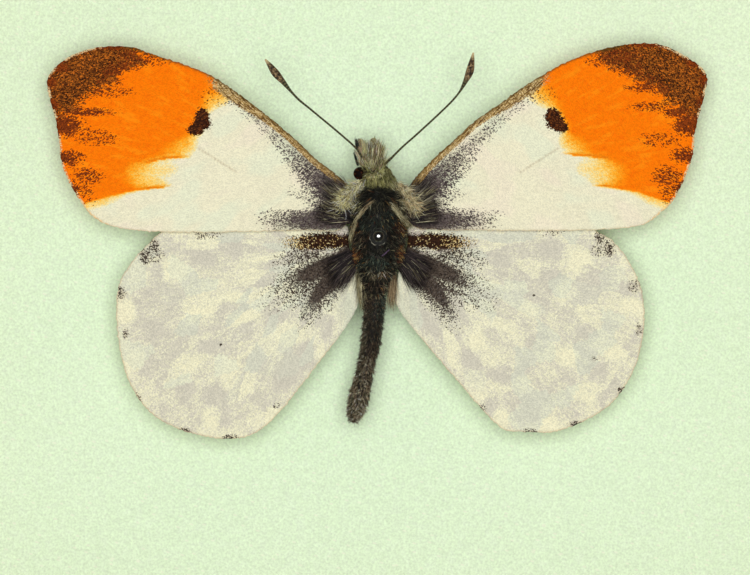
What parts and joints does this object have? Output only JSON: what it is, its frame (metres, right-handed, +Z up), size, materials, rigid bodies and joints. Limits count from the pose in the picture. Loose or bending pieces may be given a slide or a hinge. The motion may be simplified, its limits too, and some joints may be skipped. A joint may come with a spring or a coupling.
{
  "type": "framed butterfly specimen",
  "caption": "Spread and pinned orange-tip butterfly on pale green card in a small open-fronted wooden shadow-box frame.",
  "frame": {"origin": "on the surface the frame stands on, under the middle of its overall width and depth", "axes": "+X to the right as seen from the front, +Z up, and the open front with the insect faces -Y"},
  "size_m": [0.084, 0.0254, 0.072],
  "materials": {
    "wood": "satin",
    "card": "matte",
    "foam": "matte",
    "hardboard": "matte",
    "steel": "satin",
    "hanger": "satin",
    "pin": "gloss",
    "body": "matte",
    "grey_hair": "matte",
    "pale_hair": "matte",
    "eye": "gloss",
    "antenna": "satin",
    "forewing": "matte",
    "hindwing": "matte",
    "leg": "satin"
  },
  "bodies": {
    "root": {"frame_top": "wood", "frame_bottom": "wood", "frame_left": "wood", "frame_right": "wood", "backing_card": "card", "foam_board": "foam", "back_panel": "hardboard", "framers_point_1": "steel", "framers_point_2": "steel", "framers_point_3": "steel", "framers_point_4": "steel", "framers_point_5": "steel", "framers_point_6": "steel", "hanger": "hanger", "hanger_nail_1": "steel", "hanger_nail_2": "steel", "insect_pin": "pin", "head": "body", "thorax": "body", "abdomen": "body", "eye_left": "eye", "eye_right": "eye", "palp_left": "grey_hair", "palp_right": "grey_hair", "tegula_left": "pale_hair", "tegula_right": "pale_hair", "antenna_left": "antenna", "antenna_right": "antenna", "forewing_left": "forewing", "forewing_right": "forewing", "hindwing_left": "hindwing", "hindwing_right": "hindwing", "leg_front_left": "leg", "leg_middle_left": "leg", "leg_rear_left": "leg", "leg_front_right": "leg", "leg_middle_right": "leg", "leg_rear_right": "leg"}
  },
  "joints": []
}
